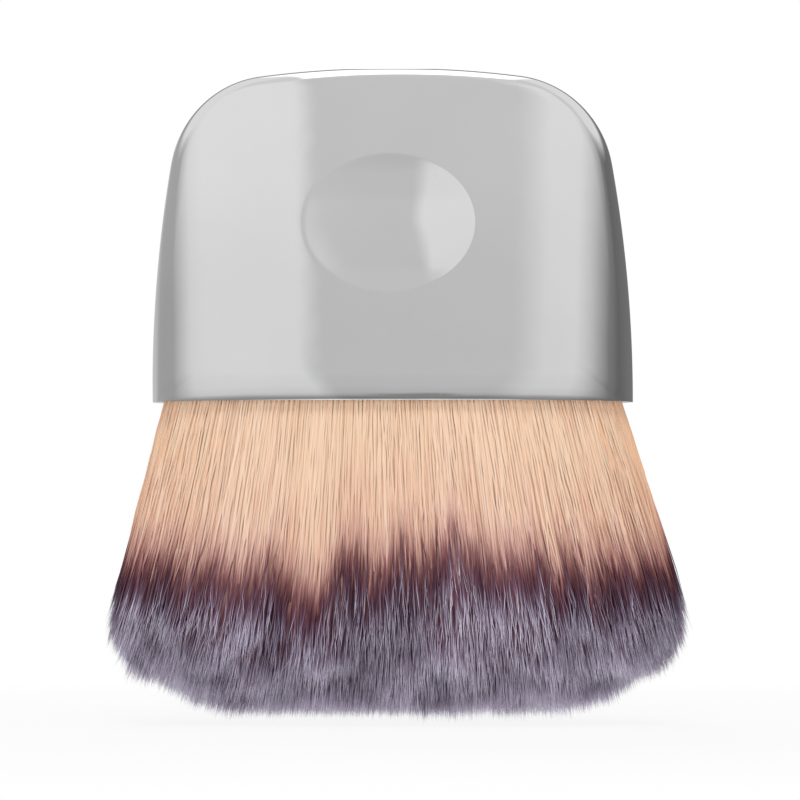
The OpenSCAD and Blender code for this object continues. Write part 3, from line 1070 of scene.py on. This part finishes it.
# Brightness of the studio as the chrome mirrors it, by compass angle from the camera in degrees
STUDIO_WALLS = [
    (-180, 0.62),
    (-150, 0.62),
    (-136, 0.47),
    (-84, 0.47),
    (-73, 0.66),
    (-61, 0.88),
    (-50, 0.93),
    (-14, 0.925),
    (-10.2, 0.69),
    (19, 0.71),
    (30, 0.90),
    (46, 0.91),
    (56, 0.74),
    (67, 0.50),
    (81, 0.26),
    (102, 0.17),
    (170, 0.22),
    (177, 0.62),
    (180, 0.62),
]

# The plain light on matt surfaces, from all round, and what the two sides add to it
PLAIN_LIGHT = 0.21
SIDE_LIGHT = 0.26

# What the chrome mirrors besides the walls, and the white that the camera sees
CEILING = 0.74
SIDE_CARDS = 0.9
BACKDROP = 0.2
LONG_BOX = 1.7
FLOOR_SPOT = 0.2
PAPER = 0.8
WHITE = 1.0

# Compass angles in degrees: where the light from a side is and how far it reaches, and where the
# cards at the sides start, and where they get higher
SIDE_LIGHT_SPAN = (90, 50)
CARDS_START = (45, 75)
CARDS_RISE = (105, 150)

# Lifts over the horizon in degrees: the lower edge of the cards and how much higher it gets, the
# edge of the ceiling, and where the corners of the walls start to lean
CARDS_EDGE = (9, 20)
CARDS_GAIN = (13, 22)
CEILING_EDGE = (34, 42)
CEILING_SHARE = 0.7
LEAN_START = 8
WALL_LEAN = 0.19

# The long box over the brush in degrees: its ends, its far edge and its slanted near edge
BOX_LEFT = (-14.5, -12)
BOX_RIGHT = (13, 17)
BOX_FAR = (117, 127)
BOX_NEAR = 60
BOX_SLANT = 0.8
BOX_SOFTNESS = 3

# The dark backdrop high behind the brush, as parts of the direction to it
BACKDROP_BACK = (0.55, 0.85)
BACKDROP_UP = (0.2, 0.35)

# Floor: its reach in metres, the share of it that glows where the shadow falls, how brightly it
# glows on the brush, and where the shadow ends
FLOOR_REACH = 3
FLOOR_GLOW = 0.9
FLOOR_BOUNCE = 1.2
SHADOW_EDGE = (0.05, 0.2)
SHADE_NARROWING = 0.85

# A dark round spot on the floor in front of the brush, which only the chrome mirrors
SPOT_X = 5 * MM
SPOT_Y = -86 * MM
SPOT_RADIUS = 15 * MM
SPOT_WIDENING = 1.2
SPOT_SHARE = 0.6
SPOT_GAIN = 1.6

# Lamps: the height that they aim at, and name, place, size in metres and power in watts
LAMP_AIM = 35 * MM
SOFTBOXES = [
    ("key", (0.03, -0.34, 0.62), (0.3, 0.3), 1.5),
    ("front", (0.03, -0.6, 0.2), (0.3, 0.3), 0.8),
    ("back", (-0.1, 0.52, 0.46), (0.3, 0.4), 2.2),
]

# Share of the light that the floor passes on, by distance from the brush in metres
FLOOR_SHADE = [
    (0.0, 1.8),
    (0.049, 1.8),
    (0.056, 0.32),
    (0.07, 0.44),
    (0.1, 0.86),
    (0.15, 0.95),
    (0.6, 1.0),
]


def degrees(x, y):
    """Heading of a place of a plane, in degrees."""
    return heading(x, y) / math.pi * 180


def turned(x, y):
    """Compass angle from the camera, in degrees."""
    return degrees(-y, x)


def lifted(x, y, z):
    """Angle over the horizon, in degrees."""
    return degrees((x**2 + y**2) ** 0.5, z)


def wall_light(compass):
    """The studio's light at a compass angle."""
    return ramped(compass / 360 + 0.5, [((angle + 180) / 360, grey) for angle, grey in STUDIO_WALLS])


def strip_box(x, y, z):
    """1 where the long box over the brush is mirrored, and 0 past its edges and its ends."""
    over = degrees(-y, z)
    aside = degrees((y**2 + z**2) ** 0.5, x)
    near = BOX_NEAR + BOX_SLANT * aside
    return (
        smooth(aside, *BOX_LEFT)
        * (1 - smooth(aside, *BOX_RIGHT))
        * smooth(over, near - BOX_SOFTNESS, near + BOX_SOFTNESS)
        * (1 - smooth(over, *BOX_FAR))
    )


def light_path(net):
    """The kind of ray, and 1 where the camera sees the spot itself or through what is clear."""
    path = net.add("ShaderNodeLightPath", output="Is Camera Ray")
    return path, smaller(path + path.output("Is Transmission Ray"), 1)


def make_floor():
    """A white floor that keeps the shadow of the brush, and can be looked through from below."""
    mesh = bpy.data.meshes.new("floor")
    sides = [(-1, -1), (1, -1), (1, 1), (-1, 1)]
    corners = [(FLOOR_REACH * x, FLOOR_REACH * y, 0) for x, y in sides]
    mesh.from_pydata(corners, [], [(0, 1, 2, 3)])
    floor = bpy.data.objects.new("floor", mesh)
    scene.collection.objects.link(floor)
    material, net = new_material("floor_white")
    x, y = net.parts(net.add("ShaderNodeTexCoord", output="Object"))[:2]
    distance = (x**2 + y**2) ** 0.5
    paper = net.add("ShaderNodeBsdfDiffuse", sockets={"Color": rgba(PAPER)})
    shade = ramped(((x * SHADE_NARROWING) ** 2 + y**2) ** 0.5, FLOOR_SHADE)
    mirrored = net.blend(1, wall_light(turned(x, y)), shade, "MULTIPLY")
    from_spot = ((x - SPOT_X) ** 2 / SPOT_WIDENING + (y - SPOT_Y) ** 2) ** 0.5
    spot = smaller(bump_at(from_spot, 0, SPOT_RADIUS) * SPOT_GAIN, 1) * SPOT_SHARE
    mirrored = net.blend(spot, mirrored, rgba(FLOOR_SPOT))
    in_chrome = net.add("ShaderNodeEmission", sockets={"Color": mirrored, "Strength": 1})
    clear = net.add("ShaderNodeBsdfTransparent")
    path, seen = light_path(net)
    glow = FLOOR_GLOW + (1 - FLOOR_GLOW) * smooth(distance, *SHADOW_EDGE) * seen
    strength = FLOOR_BOUNCE + (1 - FLOOR_BOUNCE) * seen
    white = net.add("ShaderNodeEmission", sockets={"Color": rgba(WHITE), "Strength": strength})
    lit = net.add("ShaderNodeMixShader", sockets={0: glow, 1: paper, 2: white})
    lit = net.add("ShaderNodeMixShader", sockets={0: path.output("Is Glossy Ray"), 1: lit, 2: in_chrome})
    below = net.add("ShaderNodeNewGeometry", output="Backfacing")
    shader = net.add("ShaderNodeMixShader", sockets={0: below, 1: lit, 2: clear})
    net.add("ShaderNodeOutputMaterial", sockets={"Surface": shader})
    mesh.materials.append(material)


def make_world():
    """Plain light for matt surfaces, soft walls for mirrors, and white behind the brush."""
    world = bpy.data.worlds.new("studio")
    scene.world = world
    world.use_nodes = True
    net = Net(world.node_tree)
    x, y, z = net.parts(net.add("ShaderNodeTexCoord", output="Generated"))
    lift = lifted(x, y, z)
    compass = turned(x, y)
    walls = wall_light(compass + larger(lift - LEAN_START, 0) * WALL_LEAN)
    mirrored = net.blend(smooth(lift, *CEILING_EDGE) * CEILING_SHARE, walls, rgba(CEILING))
    outer = smooth(abs(compass), *CARDS_RISE)
    edge = [low + gain * outer for low, gain in zip(CARDS_EDGE, CARDS_GAIN)]
    cards = smooth(lift, *edge) * smooth(abs(compass), *CARDS_START)
    mirrored = net.blend(cards, mirrored, rgba(SIDE_CARDS))
    mirrored = net.blend(smooth(y, *BACKDROP_BACK) * smooth(z, *BACKDROP_UP), mirrored, rgba(BACKDROP))
    mirrored = net.blend(strip_box(x, y, z), mirrored, rgba(LONG_BOX))
    path, seen = light_path(net)
    plain = PLAIN_LIGHT + SIDE_LIGHT * bump_at(abs(compass), *SIDE_LIGHT_SPAN)
    light = net.blend(path.output("Is Glossy Ray"), plain, mirrored)
    light = net.blend(seen, light, rgba(WHITE))
    sky = net.add("ShaderNodeBackground", sockets={"Color": light, "Strength": 1})
    net.add("ShaderNodeOutputWorld", sockets={"Surface": sky})


def make_softbox(name, place, size, power):
    """An area lamp that faces the middle of the brush."""
    data = bpy.data.lights.new(name, "AREA")
    data.shape = "RECTANGLE"
    data.size, data.size_y = size
    data.energy = power
    lamp = bpy.data.objects.new(name, data)
    lamp.location = place
    aim = Vector((0, 0, LAMP_AIM))
    lamp.rotation_euler = (aim - lamp.location).to_track_quat("-Z", "Y").to_euler()
    lamp.visible_glossy = False
    scene.collection.objects.link(lamp)


def make_studio():
    make_floor()
    make_world()
    for name, place, size, power in SOFTBOXES:
        make_softbox(name, Vector(place), size, power)
    scene.view_settings.view_transform = "Standard"


make_camera()
make_studio()
make_handle()
make_bristles()
finish_inner_pieces()
